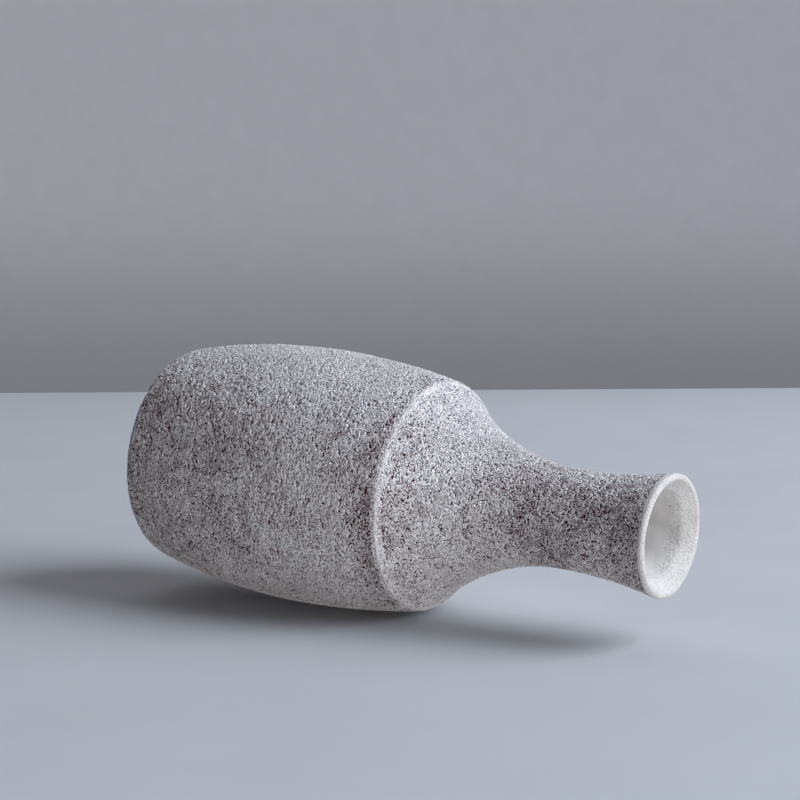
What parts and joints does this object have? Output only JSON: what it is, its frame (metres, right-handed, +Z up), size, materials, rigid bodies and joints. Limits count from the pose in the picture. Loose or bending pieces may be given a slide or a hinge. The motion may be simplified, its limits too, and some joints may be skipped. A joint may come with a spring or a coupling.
{
  "type": "bud vase",
  "caption": "Round-bodied ceramic bud vase with a crisp shoulder ridge, a slender flaring neck, a lip bevelled inside and a granular crackled outer coat.",
  "frame": {"origin": "centre of the flat foot, on the surface the vase stands on", "axes": "+Z up along the vase's axis, from the foot to the mouth; X and Y are any two radii, because the vase is round"},
  "size_m": [0.0678, 0.0678, 0.15],
  "materials": {
    "red_brown_stoneware": "matte, unglazed, fine grog",
    "white_slip": "matte, smooth",
    "crackle_coat": "matte, granular and crackled, dark clay in the pits",
    "white_glaze": "satin, smooth"
  },
  "bodies": {
    "root": {"barrel": "red_brown_stoneware", "shoulder_and_neck": "red_brown_stoneware", "slip_joint": "white_slip", "barrel_coat": "crackle_coat", "shoulder_coat": "crackle_coat", "liner_glaze": "white_glaze", "lip_glaze": "white_glaze"}
  },
  "joints": []
}
